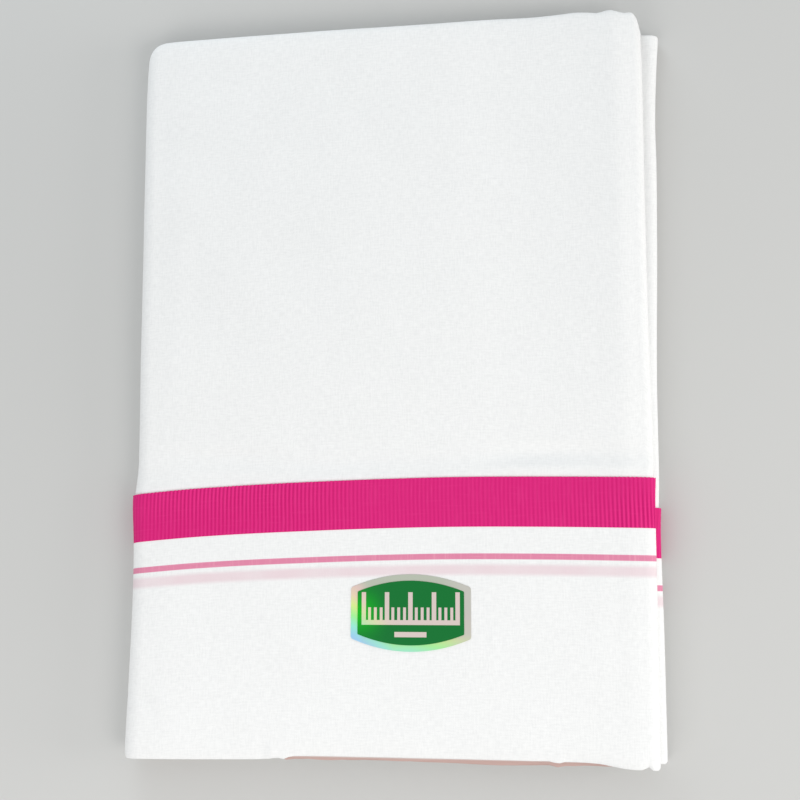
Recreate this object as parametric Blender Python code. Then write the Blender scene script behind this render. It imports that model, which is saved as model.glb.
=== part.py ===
# A folded double dhoti: white cotton cloth with a ribbed magenta border, lying flat as a pack.
# Metres, +Z up. +X runs across the pack away from its book fold, +Y towards its top fold.
# The origin is under the middle of the pack, on the surface it lies on.

import math

import bmesh
import bpy
from mathutils import Vector

MM = 0.001

# Cloth and seams
CLOTH_WALL = 1.0 * MM
PIECE_GAP = 0.3 * MM
LIFT = CLOTH_WALL + PIECE_GAP

# Folds at the sides of the pack
BOOK_ROUND = 8.0 * MM
BOOK_STEPS = 6
NESTED_ROUND = 5.0 * MM
NESTED_STEPS = 8
SLOT_DEPTH = 16.0 * MM
SLOT_OPENING = 1.0 * MM
SLOT_TRIM = 1.0 * MM
SLOT_STOPS = (0.0, 0.5)

# Where each half's plan edges are read for its book fold and its nested fold, in mm
BOOK_SIDE_X = -130.0
NESTED_SIDE_X = 123.0

# Stops across the flat stretch, right to left, in mm
FLAT_COLUMNS = (101.0, 95.0, 84.0, 72.0, 56.0, 34.0, 6.0, -22.0, -50.0, -78.0, -104.0)

# Border of the cloth
BAND_HEIGHT = 23.3 * MM
RIB_PITCH = 1.93 * MM
RIB_RISE = 0.3 * MM

# Layered edges of the hidden plies
TOP_RECESS = 1.8 * MM
PENULTIMATE_RECESS = 1.0 * MM
BOTTOM_RECESS = 0.4 * MM
PLY_BEADS_MM = {
    "lower": (1.3, 0.8, 1.5, 1.0, 1.4),
    "middle": (0.9, 1.3),
    "upper": (1.1, 1.5, 0.8, 1.4, 1.0),
}

# Size label stuck on the turned-up border
LABEL_CENTRE = (9.6 * MM, -111.1 * MM)
FOIL_SIZE = (56.2 * MM, 23.4 * MM)
FOIL_ARCH = 6.0 * MM
FIELD_SIZE = (49.9 * MM, 19.6 * MM)
FIELD_ARCH = 5.0 * MM
FOIL_THICKNESS = 0.25 * MM
LABEL_GAP = 0.15 * MM
LABEL_COLUMNS = 8
LABEL_ROWS = 5

# Plan of the book fold, in mm: y, x of the plain cloth's outside
BOOK_EDGE = (
    (-180.0, -128.9), (-144.0, -127.9), (-106.0, -127.3), (-77.0, -127.9), (-57.0, -129.1),
    (-38.0, -128.0), (12.0, -128.3), (96.0, -129.2), (150.0, -130.0), (180.0, -129.8),
)

# Height where the upper and lower stacks part, in mm: y, z
PARTING = (
    (-180.0, 7.2), (-170.0, 8.6), (-60.0, 9.0), (-30.0, 7.9), (60.0, 8.8),
    (150.0, 8.4), (172.0, 7.2), (180.0, 6.2),
)

# Each half of the pack, in mm: its plan edges as x, y rows, its nested fold as y, x rows, and how
# far each corner is rounded across and along the pack
FACE = {
    "side": 1.0,
    "top": ((-130, 178.2), (-119, 179.2), (-100, 179.4), (-40, 179.8), (20, 180.1), (70, 180.4),
            (90, 181.3), (101, 180.4), (107, 181.3), (112, 180.4), (117, 179.9), (123, 179.6)),
    "bottom": ((-130, -180.0), (-90, -179.5), (-60, -178.6), (-40, -177.8), (0, -177.9), (40, -178.2),
               (80, -178.4), (98, -178.7), (108, -179.6), (123, -180.0)),
    "edge": ((-130, -55.0), (-93, -52.1), (-43, -49.8), (20, -48.2), (70, -48.3), (123, -49.2)),
    "right": ((-180, 120.6), (-120, 121.2), (-60, 121.6), (-40, 122.6), (34, 122.0), (83, 122.0),
              (164, 122.5), (180, 122.3)),
    "corners": {"top_book": (9.0, 10.0), "top_nested": (5.0, 12.5),
                "bottom_book": (1.5, 1.5), "bottom_nested": (1.5, 1.5)},
    "ribbed": ("fold", "flat", "book"),
}
BACK = {
    "side": -1.0,
    "top": ((-130, 178.2), (-60, 177.6), (40, 175.0), (130, 170.2)),
    "bottom": ((-130, -180.0), (-60, -178.2), (-45, -177.4), (20, -177.4), (95, -177.6), (106, -178.4),
               (130, -178.6)),
    "edge": ((-130, -55.0), (0, -58.5), (130, -62.8)),
    "right": ((-180, 123.9), (-120, 124.1), (-75, 124.0), (-50, 125.3), (0, 125.8), (60, 127.6),
              (105, 128.6), (126, 128.6), (150, 129.6), (170, 130.8)),
    "corners": {"top_book": (15.0, 15.0), "top_nested": (1.5, 1.5),
                "bottom_book": (4.0, 4.0), "bottom_nested": (1.5, 1.5)},
    "ribbed": ("fold", "book"),
}

# How far the face sinks below its middle, in mm: x, drop above the border, drop on the border
FACE_DROP = (
    (-122.0, 1.9, 1.2), (-104.0, 0.75, 0.5), (-78.0, 0.25, 0.2), (-50.0, 0.0, 0.0), (0.0, 0.0, 0.0),
    (34.0, 0.35, 0.05), (56.0, 0.95, 0.1), (72.0, 1.6, 0.2), (84.0, 2.1, 0.3), (95.0, 1.6, 0.35),
    (101.0, 1.0, 0.35), (106.5, 0.6, 0.4), (112.0, 0.7, 0.5), (118.0, 1.6, 1.0),
)

# Rows of the cloth from the bottom fold to the top fold. Columns: the two plan edges that the row
# lies between, its share of the way, a further distance in mm, the face's height in mm, the weight
# of the upper drop, and whether the turned-up border covers it
ROWS = (
    ("bottom", "band_low", 0.00, 1.5, 15.4, 0.0, True),
    ("bottom", "band_low", 0.00, 3.5, 16.5, 0.0, True),
    ("bottom", "band_low", 0.00, 10.0, 17.2, 0.0, True),
    ("bottom", "band_low", 0.30, 0.0, 17.5, 0.0, True),
    ("bottom", "band_low", 0.62, 0.0, 17.6, 0.0, True),
    ("bottom", "band_low", 1.00, 0.0, 17.2, 0.0, True),
    ("band_low", "edge", 1.00, 0.0, 16.7, 0.1, True),
    ("edge", "top", 0.00, 5.0, 16.4, 0.2, False),
    ("edge", "top", 0.00, 13.0, 15.7, 0.3, False),
    ("edge", "top", 0.00, 22.0, 16.2, 0.5, False),
    ("edge", "top", 0.22, 0.0, 18.0, 0.7, False),
    ("edge", "top", 0.42, 0.0, 18.8, 1.0, False),
    ("edge", "top", 0.62, 0.0, 18.9, 1.0, False),
    ("edge", "top", 0.82, 0.0, 18.2, 1.0, False),
    ("edge", "top", 1.00, -12.0, 17.8, 1.0, False),
    ("edge", "top", 1.00, -5.0, 17.2, 1.0, False),
    ("edge", "top", 1.00, -1.5, 16.4, 0.9, False),
    ("edge", "top", 1.00, 0.0, 15.3, 0.8, False),
)
BAND_LOW_ROW = 5
EDGE_ROW = 6

# Bottom fold of the border round the plain cloth's end. Columns: distance past the first row and
# offset from the plain cloth's outside, in mm, for the outer and the inner side
BOTTOM_FOLD = (
    (0.9, 1.05, 0.45, 0.3),
    (1.5, 0.1, 0.5, -0.2),
    (1.3, -0.75, 0.5, -0.75),
)

COLOURS = {
    "hidden_plies": ((0.86, 0.87, 0.88, 1.0), 0.9, 0.0),
    "cloth": ((0.90, 0.91, 0.92, 1.0), 0.85, 0.0),
    "band": ((0.70, 0.03, 0.19, 1.0), 0.7, 0.0),
    "foil": ((0.75, 0.80, 0.78, 1.0), 0.3, 0.9),
    "label": ((0.02, 0.30, 0.06, 1.0), 0.45, 0.0),
}


# Value of a smooth curve through a table's rows; position and values in mm
def through(table, at, column=1):
    if at <= table[0][0]:
        return table[0][column]
    if at >= table[-1][0]:
        return table[-1][column]
    i = max(k for k in range(len(table) - 1) if table[k][0] <= at)
    before = table[max(i - 1, 0)]
    low = table[i]
    high = table[i + 1]
    after = table[min(i + 2, len(table) - 1)]
    span = high[0] - low[0]
    low_slope = (high[column] - before[column]) / (high[0] - before[0]) * span
    high_slope = (after[column] - low[column]) / (after[0] - low[0]) * span
    t = (at - low[0]) / span
    rise = high[column] - low[column]
    return (low[column] + t * low_slope
            + t * t * (3 * rise - 2 * low_slope - high_slope)
            + t * t * t * (low_slope + high_slope - 2 * rise))


# How far a rounded corner draws an edge back at a distance from the side, in mm
def corner_drop(distance, across, down):
    if distance >= across:
        return 0.0
    reach = 1.0 - max(distance, 0.0) / across
    return down * (1.0 - math.sqrt(1.0 - reach * reach))


# Plan position of a named edge at x, in mm
def edge_y(half, name, x, left, right):
    if name == "band_low":
        return through(half["edge"], x) - BAND_HEIGHT / MM
    if name == "edge":
        return through(half["edge"], x)
    corners = half["corners"]
    rounding = (corner_drop(x - left, *corners[name + "_book"])
                + corner_drop(right - x, *corners[name + "_nested"]))
    return through(half[name], x) + (-rounding if name == "top" else rounding)


def row_y(half, row, x, left=-1000.0, right=1000.0):
    low_name, high_name, share, distance = ROWS[row][:4]
    low = edge_y(half, low_name, x, left, right)
    high = edge_y(half, high_name, x, left, right)
    return low + (high - low) * share + distance


# Height of the plain cloth's outside on the face or the underside, in mm
def cloth_z(half, row, x):
    height, upper_weight, covered = ROWS[row][4:7]
    if half["side"] < 0:
        return LIFT / MM if covered else 0.0
    upper = through(FACE_DROP, x, 1)
    lower = through(FACE_DROP, x, 2)
    return height - lower - (upper - lower) * upper_weight


# One row of a half: from inside the slot, round the nested fold, over the half, to the book fold
def half_section(half, row, trim, along=0.0):
    left = through(BOOK_EDGE, row_y(half, row, BOOK_SIDE_X))
    right = through(half["right"], row_y(half, row, NESTED_SIDE_X))
    slot_end = through(FACE["right"], row_y(FACE, row, 0.0)) - SLOT_DEPTH / MM
    fold_round = NESTED_ROUND / MM
    fold_start = right - fold_round
    lift = LIFT / MM if ROWS[row][6] else 0.0
    slot_y = row_y(half, row, fold_start, left, right) + along / MM
    slot_z = through(PARTING, slot_y) + half["side"] * (SLOT_OPENING / MM / 2 + lift)
    outline = []

    def add(zone, x, z):
        y = row_y(half, row, x, left, right) + along / MM
        outline.append((zone, Vector((x, y, z)) * MM))

    for stop in SLOT_STOPS:
        first = slot_end + trim / MM
        add("slot", first + (fold_start - first) * stop, slot_z)

    outer_z = cloth_z(half, row, fold_start)
    centre_z = (outer_z + slot_z) / 2
    for step in range(NESTED_STEPS + 1):
        angle = math.pi * (step / NESTED_STEPS - 0.5)
        x = fold_start + fold_round * math.cos(angle)
        add("fold", x, centre_z + (outer_z - centre_z) * math.sin(angle))

    # The flat stretch begins over the slot, where the slot's stops are repeated
    for stop in reversed(SLOT_STOPS):
        x = slot_end + (fold_start - slot_end) * stop
        add("flat", x, cloth_z(half, row, x))
    for x in FLAT_COLUMNS:
        add("flat", x, cloth_z(half, row, x))

    book_round = BOOK_ROUND / MM
    book_start = left + book_round
    start_z = cloth_z(half, row, book_start)
    tip_z = (cloth_z(FACE, row, book_start) + cloth_z(BACK, row, book_start)) / 2
    for step in range(BOOK_STEPS + 1):
        angle = math.pi / 2 * step / BOOK_STEPS
        x = book_start - book_round * math.sin(angle)
        add("book", x, tip_z + (start_z - tip_z) * math.cos(angle))

    # Both halves meet at the tip of the book fold, or nearly meet where they are walls
    zone, tip = outline[-1]
    tip.y = row_y(FACE, row, left, left, right) * MM + along
    if trim > 0:
        tip.z += half["side"] * PIECE_GAP / 2
    return outline


# Outward directions of a section's points, in the XZ plane, lengthened at bends
def outward(half, outline):
    normals = []
    for i in range(len(outline) - 1):
        here = outline[i][1]
        arms = []
        if i > 0:
            arms.append(here - outline[i - 1][1])
        arms.append(outline[i + 1][1] - here)
        flats = [Vector((arm.z, 0, -arm.x)).normalized() * half["side"] for arm in arms]
        total = sum(flats, Vector()).normalized()
        normals.append(total / total.dot(flats[0]))
    normals.append(Vector((-1, 0, 0)))
    return normals


# A half's row moved along the pack, and out by an offset from the plain cloth's outside
def moved_row(half, row, offset, trim=SLOT_TRIM, along=0.0):
    outline = half_section(half, row, trim, along)
    normals = outward(half, outline)
    return [point + normal * offset for (zone, point), normal in zip(outline, normals)]


def add_material(obj, name):
    colour, roughness, metallic = COLOURS[name]
    material = bpy.data.materials.new(obj.name + "_" + name)
    material.use_nodes = True
    shader = material.node_tree.nodes["Principled BSDF"]
    shader.inputs["Base Color"].default_value = colour
    shader.inputs["Roughness"].default_value = roughness
    shader.inputs["Metallic"].default_value = metallic
    obj.data.materials.append(material)


# Turns a bmesh of grids that share their borders into one closed object
def finish(name, mesh, material):
    bmesh.ops.remove_doubles(mesh, verts=mesh.verts, dist=1e-6)
    bmesh.ops.recalc_face_normals(mesh, faces=mesh.faces)
    data = bpy.data.meshes.new(name)
    mesh.to_mesh(data)
    mesh.free()
    data.shade_smooth()
    data.set_sharp_from_angle(angle=math.radians(35))
    obj = bpy.data.objects.new(name, data)
    bpy.context.collection.objects.link(obj)
    add_material(obj, material)
    return obj


def add_grid(mesh, rows):
    grid = [[mesh.verts.new(point) for point in row] for row in rows]
    for low, high in zip(grid, grid[1:]):
        for i in range(len(low) - 1):
            mesh.faces.new((low[i], low[i + 1], high[i + 1], high[i]))


# A cloth wall between an outer and an inner set of rows
def wall(name, outer, inner, material):
    mesh = bmesh.new()
    add_grid(mesh, outer)
    add_grid(mesh, inner)
    add_grid(mesh, [outer[0], inner[0]])
    add_grid(mesh, [outer[-1], inner[-1]])
    for end in (0, -1):
        add_grid(mesh, [[row[end] for row in outer], [row[end] for row in inner]])
    return finish(name, mesh, material)


# Plain cloth of one half: the ply under the turned-up border, bare above it
def plain_cloth(name, half):
    rows = range(len(ROWS))
    outer = [moved_row(half, row, 0.0) for row in rows]
    inner = [moved_row(half, row, -CLOTH_WALL) for row in rows]
    return wall(name, outer, inner, "cloth")


# Turned-up cloth below the band, folded round the plain cloth's end at the bottom
def turned_up(name, half):
    outer = []
    inner = []
    for past, out_offset, past_inside, in_offset in reversed(BOTTOM_FOLD):
        outer.append(moved_row(half, 0, out_offset * MM, along=-past * MM))
        inner.append(moved_row(half, 0, in_offset * MM, along=-past_inside * MM))
    for row in range(BAND_LOW_ROW + 1):
        seam = -PIECE_GAP / 2 if row == BAND_LOW_ROW else 0.0
        outer.append(moved_row(half, row, LIFT, along=seam))
        inner.append(moved_row(half, row, PIECE_GAP, along=seam))
    return wall(name, outer, inner, "cloth")


# Stops along a row as (segment, share, rise): evenly spaced on ribbed stretches, alternately raised
def rib_stops(outline, zones):
    stops = []
    spacing = RIB_PITCH / 2
    next_stop = 0.0
    ridge = False
    for i in range(len(outline) - 1):
        length = (outline[i + 1][1] - outline[i][1]).length
        if outline[i][0] not in zones:
            stops.append((i, 0.0, 0.0))
            next_stop = 0.0
            continue
        while next_stop < length:
            stops.append((i, next_stop / length, RIB_RISE if ridge else 0.0))
            ridge = not ridge
            next_stop += spacing
        next_stop -= length
    stops.append((len(outline) - 2, 1.0, 0.0))
    return stops


# Ribbed border band at the top of the turned-up cloth, its outer points raised over a plain inside
def band(name, half):
    outer = []
    inner = []
    stops = rib_stops(half_section(half, EDGE_ROW, SLOT_TRIM), half["ribbed"])
    for row, seam in ((BAND_LOW_ROW, PIECE_GAP / 2), (EDGE_ROW, 0.0)):
        outline = half_section(half, row, SLOT_TRIM, seam)
        normals = outward(half, outline)
        outer_row = []
        inner_row = []
        for i, share, rise in stops:
            point = outline[i][1].lerp(outline[i + 1][1], share)
            normal = normals[i].lerp(normals[i + 1], share)
            # Ribs fade out on the way down to the surface that the pack lies on
            fade = 1.0 if half is FACE else max(1.0 + min(normal.z, 0.0), 0.0)
            outer_row.append(point + normal * (LIFT + rise * fade))
            inner_row.append(point + normal * PIECE_GAP)
        outer.append(outer_row)
        inner.append(inner_row)
    return wall(name, outer, inner, "band")


# Levels of a block of hidden plies at one end: each ply stands out as a bead between two grooves
def ply_levels(inner_side, outer_side, beads, direction, full):
    levels = []
    count = 2 * len(beads)
    for k in range(count + 1):
        bead = beads[k // 2] * MM * direction if k % 2 else 0.0
        level = []
        for inner_point, outer_point in zip(inner_side, outer_side):
            thickness = abs(outer_point.z - inner_point.z)
            reach = bead * min(thickness / full, 1.0)
            level.append(inner_point.lerp(outer_point, k / count) + Vector((0, reach, 0)))
        levels.append(level)
    return levels


# A line through the hidden plies from the slot's end to the book fold, at a share of their height
def through_plies(side_row, face, back, share):
    return [Vector((at.x, at.y, below.z + (above.z - below.z) * share))
            for at, above, below in zip(side_row, face, back)]


# The end of the hidden plies between a face row and a back row
def ply_end(mesh, face, back, direction):
    tip = len(SLOT_STOPS) + NESTED_STEPS // 2
    over_slot = 2 * tip
    thickness = face[over_slot].z - back[over_slot].z
    sides = {}
    for key, row in (("upper", face), ("lower", back)):
        share = (row[0].z - back[over_slot].z) / thickness
        beyond = slice(over_slot + 1, None)
        line = through_plies(row[beyond], face[beyond], back[beyond], share)
        sides[key] = [row[0]] + line
        inner_side = row[tip:0:-1] + sides[key]
        full = abs(row[over_slot].z - row[0].z)
        add_grid(mesh, ply_levels(inner_side, row[tip:], PLY_BEADS_MM[key], direction, full))

    # Between the two lines no ply stands out at the slot's end, where a plain wall meets this one
    middle = ply_levels(sides["lower"], sides["upper"], PLY_BEADS_MM["middle"], direction, thickness)
    flush = slot_wall_row(face, back)
    for level, point in zip(middle, flush):
        level[0] = point
    add_grid(mesh, middle)


# Points up the wall at the slot's end
def slot_wall_row(face, back):
    count = 2 * len(PLY_BEADS_MM["middle"])
    return [back[0].lerp(face[0], k / count) for k in range(count + 1)]


# All hidden plies as one rounded solid, parted by the slot at the right and layered at both ends
def hidden_plies(name):
    mesh = bmesh.new()
    faces = []
    backs = []
    recesses = [BOTTOM_RECESS] + [0.0] * (len(ROWS) - 3) + [-PENULTIMATE_RECESS, -TOP_RECESS]
    for row, recess in enumerate(recesses):
        faces.append(moved_row(FACE, row, -LIFT, trim=0.0, along=recess))
        backs.append(moved_row(BACK, row, -LIFT, trim=0.0, along=recess))
    add_grid(mesh, faces)
    add_grid(mesh, backs)
    add_grid(mesh, [slot_wall_row(face, back) for face, back in zip(faces, backs)])
    ply_end(mesh, faces[0], backs[0], -1.0)
    ply_end(mesh, faces[-1], backs[-1], 1.0)
    return finish(name, mesh, "hidden_plies")


# A row's point at x, on its flat stretch
def row_point(points, x):
    for right, left in zip(points, points[1:]):
        if left.x <= x <= right.x:
            return left.lerp(right, (x - left.x) / (right.x - left.x))
    return points[-1]


# A point of the turned-up cloth's outside on the face, at x and y
def on_turned_up(rows, x, y):
    line = [row_point(row, x) for row in rows]
    for low, high in zip(line, line[1:]):
        if low.y <= y <= high.y:
            return low.lerp(high, (y - low.y) / (high.y - low.y))
    return line[-1]


# A thin plate with arched top and bottom edges, lying on the turned-up cloth
def label_plate(name, size, arch, raised, material):
    flat = slice(len(SLOT_STOPS) + NESTED_STEPS, -BOOK_STEPS)
    cloth = [moved_row(FACE, row, LIFT)[flat] for row in range(BAND_LOW_ROW + 1)]
    width, height = size
    sides = []
    for offset in (raised + FOIL_THICKNESS, raised):
        rows = []
        for r in range(LABEL_ROWS + 1):
            row = []
            for c in range(LABEL_COLUMNS + 1):
                across = 2 * c / LABEL_COLUMNS - 1
                half_height = height / 2 + arch * (1 - across * across)
                x = LABEL_CENTRE[0] + across * width / 2
                y = LABEL_CENTRE[1] + (2 * r / LABEL_ROWS - 1) * half_height
                row.append(on_turned_up(cloth, x, y) + Vector((0, 0, offset)))
            rows.append(row)
        sides.append(rows)
    return wall(name, sides[0], sides[1], material)


for old in list(bpy.data.objects):
    bpy.data.objects.remove(old, do_unlink=True)

hidden_plies("hidden_plies")
for prefix, half in (("face", FACE), ("back", BACK)):
    plain_cloth(prefix + "_cloth", half)
    turned_up(prefix + "_turned_up", half)
    band(prefix + "_band", half)
label_plate("label_foil", FOIL_SIZE, FOIL_ARCH, LABEL_GAP, "foil")
label_plate("label_field", FIELD_SIZE, FIELD_ARCH, 2 * LABEL_GAP + FOIL_THICKNESS, "label")
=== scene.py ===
# A folded double dhoti on a pale floor: white cotton with a ribbed magenta border and a size label.
# Lengths in the tables are millimetres in the pack's own frame; meshes are in metres.
import math
import bpy
import numpy as np
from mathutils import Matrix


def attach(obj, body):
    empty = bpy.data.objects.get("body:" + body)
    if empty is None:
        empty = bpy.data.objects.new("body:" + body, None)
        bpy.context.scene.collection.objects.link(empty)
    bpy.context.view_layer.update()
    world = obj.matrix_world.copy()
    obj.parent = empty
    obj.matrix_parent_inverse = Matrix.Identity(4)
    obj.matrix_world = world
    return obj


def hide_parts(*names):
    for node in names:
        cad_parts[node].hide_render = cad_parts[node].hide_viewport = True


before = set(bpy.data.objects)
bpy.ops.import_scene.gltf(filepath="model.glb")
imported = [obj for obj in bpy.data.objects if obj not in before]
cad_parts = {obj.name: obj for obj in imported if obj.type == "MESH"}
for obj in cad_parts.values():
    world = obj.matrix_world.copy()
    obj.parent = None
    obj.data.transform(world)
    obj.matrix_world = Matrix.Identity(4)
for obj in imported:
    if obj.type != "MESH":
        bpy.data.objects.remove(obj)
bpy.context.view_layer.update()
mm = 0.001
print("frame loaded:", len(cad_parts), "nodes")

pack = {
    "bookRound": 8.0,       # reach of the book fold at the left
    "nestedRound": 5.0,     # reach of the two nested folds at the right
    "slotDepth": 16.0,      # how far the gap between them runs in
    "slotOpening": 1.0,
    "bookSideX": -130.0,    # where a row's plan position is read for the book fold
    "nestedSideX": 123.0,   # and for the nested folds
    "bandHeight": 23.3,     # woven border band, from the selvedge down
    "bottomInset": 0.9,     # from the bottom outline to the plain cloth's end
    "flapLift": 0.6,        # from the plain cloth's outside to the turned-up cloth's
    "sideLift": 0.6,        # further lift where it goes round a fold
    "liftFade": 5.0,        # how fast the underside settles above the selvedge
}

# Sides so far off that no corner is rounded
openSides = (-1000.0, 1000.0)

# Plan of the book fold: y, x
bookEdge = (
    (-180.0, -128.9), (-144.0, -127.9), (-106.0, -127.3), (-77.0, -127.9), (-57.0, -129.1),
    (-38.0, -128.0), (12.0, -128.3), (96.0, -129.2), (150.0, -130.0), (180.0, -129.8),
)

# Height at which the upper and the lower stack part: y, z
parting = (
    (-180.0, 7.2), (-170.0, 8.6), (-60.0, 9.0), (-30.0, 7.9), (60.0, 8.8),
    (150.0, 8.4), (172.0, 7.2), (180.0, 6.2),
)

# The upper and the lower half: plan edges as x, y rows and the nested fold as y, x rows
faceHalf = {
    "side": 1.0,
    "top": ((-130, 178.2), (-123, 178.6), (-119, 179.4), (-100, 179.5), (-70, 179.6), (-40, 179.8),
            (20, 180.1), (50, 180.7), (70, 180.5), (84, 181.0), (91, 181.4), (98, 180.8), (102, 180.3),
            (107, 181.4), (110, 180.8), (114, 179.6), (118, 179.9), (123, 179.6)),
    "bottom": ((-130, -180.2), (-90, -179.5), (-64, -178.9), (-57, -178.5), (-53.7, -177.9),
               (-50.5, -178.5), (-47, -177.2), (-20, -176.8), (20, -176.8), (66, -177.0), (73, -177.0),
               (76, -177.9), (79.5, -177.2), (94, -177.6), (102, -178.9), (107, -179.7), (114, -179.9),
               (116.7, -178.6), (118.4, -180.2), (123, -180.3)),
    "edge": ((-130, -55.0), (-93, -52.1), (-43, -49.8), (20, -48.2), (70, -48.3), (123, -49.2)),
    "right": ((-180, 120.6), (-120, 121.2), (-60, 121.6), (-40, 122.6), (34, 122.0), (83, 122.0),
              (164, 122.5), (180, 122.3)),
    "corners": {"topBook": (9.0, 10.0), "topNested": (5.0, 12.5), "bottomBook": (1.5, 1.5),
                "bottomNested": (0.6, 0.8)},
}
backHalf = {
    "side": -1.0,
    "top": ((-130, 178.2), (-60, 177.6), (40, 175.0), (130, 170.1)),
    "bottom": ((-130, -179.6), (-60, -177.6), (-48, -176.6), (20, -176.4), (95, -176.8), (104, -177.8),
               (118, -178.4), (130, -178.4)),
    "edge": ((-130, -55.0), (0, -58.5), (130, -62.8)),
    "right": ((-180, 124.2), (-120, 124.4), (-75, 124.2), (-50, 125.3), (0, 125.8), (60, 127.6),
              (105, 128.6), (126, 128.6), (150, 129.7), (170, 131.2)),
    "corners": {"topBook": (15.0, 15.0), "topNested": (0.8, 0.8), "bottomBook": (4.0, 4.0),
                "bottomNested": (0.5, 0.5)},
}

# How far the face sinks beside its middle: x, drop above the border, drop on the border
faceDrop = (
    (-122.0, 1.9, 1.2), (-113.0, 1.2, 0.75), (-104.0, 0.75, 0.5), (-78.0, 0.25, 0.2), (-50.0, 0.0, 0.0),
    (0.0, 0.2, 0.0), (30.0, 1.0, 0.05), (50.0, 1.75, 0.1), (66.0, 2.05, 0.2), (80.0, 1.9, 0.3),
    (96.0, 1.3, 0.35), (104.0, 0.8, 0.35), (109.0, 0.5, 0.4), (113.0, 0.8, 0.55), (118.0, 1.7, 1.1),
)

# Height of the face from the bottom fold to the top fold, between two plan edges at a time. Columns:
# share of the way, a further distance, height, weight of the upper drop
faceRows = (
    ("bottom", "bandLow", (
        (0.00, 0.4, 14.6, 0.0), (0.00, 1.3, 15.8, 0.0), (0.00, 3.5, 16.7, 0.0), (0.00, 10.0, 17.2, 0.0),
        (0.30, 0.0, 17.5, 0.0), (0.62, 0.0, 17.6, 0.0), (1.00, 0.0, 17.2, 0.0),
    )),
    ("bandLow", "edge", ((1.00, 0.0, 16.8, 0.1),)),
    ("edge", "top", (
        (0.00, 4.0, 16.4, 0.2), (0.00, 9.0, 15.8, 0.3), (0.00, 14.0, 16.0, 0.4), (0.00, 22.0, 16.5, 0.5),
        (0.22, 0.0, 18.0, 0.7), (0.42, 0.0, 18.8, 1.0), (0.62, 0.0, 18.9, 1.0), (0.82, 0.0, 18.2, 1.0),
        (1.00, -12.0, 17.8, 1.0), (1.00, -5.0, 17.3, 1.0), (1.00, -2.0, 16.8, 0.9),
        (1.00, -0.7, 16.1, 0.8), (1.00, 0.0, 15.2, 0.7),
    )),
)

# Creases listed one by one, ridges up and troughs down. Columns: start x, y, end x, y, width, height, bow
faceCreases = (
    (-128, -44.4, -44, -43.6, 3.2, 0.45, 0.0),
    (-128, -36.8, -38, -36.6, 3.4, -0.40, 0.3),
    (-50, -48.6, 46, -47.6, 4.0, 0.60, 0.0),
    (36, -43.8, 129, -44.4, 3.2, 1.15, 0.0),
    (36, -35.8, 129, -36.6, 3.6, -1.05, -0.3),
    (-60, -181, -59, -166, 1.7, -0.55, 0.3),
    (-56, -181, -55, -170, 2.0, 0.45, 0.2),
    (73, -181, 73, -174, 2.0, 0.40, 0.0),
    (-124, -148, -110, -163, 2.2, -0.45, 0.6),
    (-120, -143, -106, -158, 2.8, 0.25, 0.8),
    (-117, 168, -115, 60, 4.0, -0.22, -1.5),
    (-108, 90, -111, -20, 5.0, 0.18, 2.0),
    (-84, 150, -70, 30, 11.0, 0.16, 5.0),
    (-30, 160, -44, 40, 13.0, -0.16, -6.0),
    (22, 140, 34, 5, 12.0, 0.15, 5.0),
    (-100, -168, -40, -172, 5.0, -0.18, 2.0),
    (0, -173, 95, -170, 5.0, -0.16, -2.0),
    (104, -60, 102, -172, 3.5, -0.20, 0.8),
    (-118, -70, -119, -135, 3.0, -0.16, -0.6),
)
undersideCreases = (
    (-96, 150, -82, -30, 7.0, 0.35, 6.0),
    (-20, 170, -8, 10, 9.0, 0.30, -8.0),
    (58, 150, 46, -50, 8.0, 0.35, 5.0),
    (96, 120, 101, -20, 5.0, 0.40, -2.0),
    (-110, -45, 105, -50, 6.0, 0.40, 3.0),
    (-70, -100, -64, -172, 4.0, 0.25, 1.0),
    (30, -90, 38, -170, 4.0, 0.25, -1.5),
)

# How every crease fades in over its length and how unevenly it runs
creaseForm = {"fadeStart": -0.02, "fadeEnd": 0.3, "uneven": 0.2, "beat": 3.1}

# Slow unevenness of the whole face: count of waves, shortest and longest wave, height
unevenness = {"waves": 9, "shortest": 24.0, "longest": 85.0, "height": 0.055, "seed": 7}


# Smooth curve through stops and values, read at each place; both may differ from place to place
def smoothCurve(stops, values, at):
    at = np.asarray(at, float)
    places = at.ravel()
    if stops.ndim == 1:
        stops = np.repeat(stops[:, None], len(places), axis=1)
        values = np.repeat(values[:, None], len(places), axis=1)
    steps = stops[1:] - stops[:-1]
    rises = values[1:] - values[:-1]
    slopes = np.empty_like(stops)
    slopes[0] = rises[0] / steps[0]
    slopes[-1] = rises[-1] / steps[-1]
    slopes[1:-1] = (values[2:] - values[:-2]) / (stops[2:] - stops[:-2])
    places = np.clip(places, stops[0], stops[-1])
    low = np.clip((stops <= places).sum(axis=0) - 1, 0, len(steps) - 1)
    one = np.arange(len(places))
    span = steps[low, one]
    share = (places - stops[low, one]) / span
    rise = rises[low, one]
    lowSlope = slopes[low, one] * span
    highSlope = slopes[low + 1, one] * span
    result = (values[low, one] + share * lowSlope
              + share ** 2 * (3 * rise - 2 * lowSlope - highSlope)
              + share ** 3 * (lowSlope + highSlope - 2 * rise))
    return result.reshape(at.shape)


def through(table, at, column=1):
    rows = np.array([(row[0], row[column]) for row in table], float)
    return smoothCurve(rows[:, 0], rows[:, 1], at)


def smoothStep(low, high, at):
    share = np.clip((at - low) / (high - low), 0.0, 1.0)
    return share * share * (3 - 2 * share)


# How far a rounded corner draws an edge back at a distance from the side
def cornerDrop(distance, across, down):
    reach = np.clip(1 - np.maximum(distance, 0.0) / across, 0.0, 1.0)
    return down * (1 - np.sqrt(1 - reach * reach))


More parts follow.
